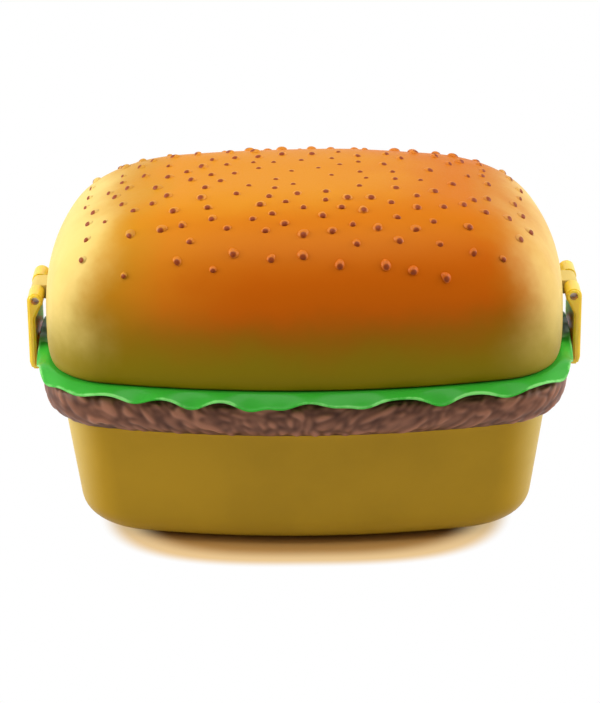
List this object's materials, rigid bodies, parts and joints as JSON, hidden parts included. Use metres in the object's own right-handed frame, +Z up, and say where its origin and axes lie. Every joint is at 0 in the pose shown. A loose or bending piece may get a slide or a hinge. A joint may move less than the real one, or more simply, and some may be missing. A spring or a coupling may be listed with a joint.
{
  "type": "burger-shaped lunch box",
  "caption": "Two-tier lunch box shaped like a burger: domed bun lid, ruffled leaf tray, patty band, bun container, and hinged snap clips that hold the lid down.",
  "frame": {"origin": "on the table under the middle of the box", "axes": "+X along the box towards the right clip, -Y towards the front, +Z up"},
  "size_m": [0.1792, 0.1212, 0.1111],
  "materials": {
    "base_plastic": "satin moulded plastic, mustard tan",
    "patty_plastic": "wrinkled moulded plastic, mauve brown",
    "leaf_plastic": "glossy moulded plastic, bright green",
    "bun_plastic": "sprayed moulded plastic, toasted orange fading to pale yellow",
    "clip_plastic": "glossy moulded plastic, yellow",
    "seal_silicone": "translucent white silicone",
    "pin_steel": "plain steel"
  },
  "bodies": {
    "base": {"bottom_bun": "base_plastic", "patty_band": "patty_plastic"},
    "tray": {"lettuce_tray": "leaf_plastic", "tray_seal": "seal_silicone", "lid_seal": "seal_silicone"},
    "lid": {"bun_lid": "bun_plastic"},
    "right_clip": {"right_clip": "clip_plastic", "right_clip_pin": "pin_steel"},
    "left_clip": {"left_clip": "clip_plastic", "left_clip_pin": "pin_steel"}
  },
  "joints": [
    {"name": "tray_lift", "type": "slide", "parent": "base", "child": "tray", "axis": [0, 0, 1], "range_m": [0, 0.06]},
    {"name": "lid_lift", "type": "slide", "parent": "tray", "child": "lid", "axis": [0, 0, 1], "range_m": [0, 0.07]},
    {"name": "right_clip_hinge", "type": "hinge", "parent": "lid", "child": "right_clip", "pos_m": [0.087, 0, 0.0726], "axis": [0, -1, 0], "range_deg": [0, 115]},
    {"name": "left_clip_hinge", "type": "hinge", "parent": "lid", "child": "left_clip", "pos_m": [-0.087, 0, 0.0726], "axis": [0, 1, 0], "range_deg": [0, 115]}
  ]
}
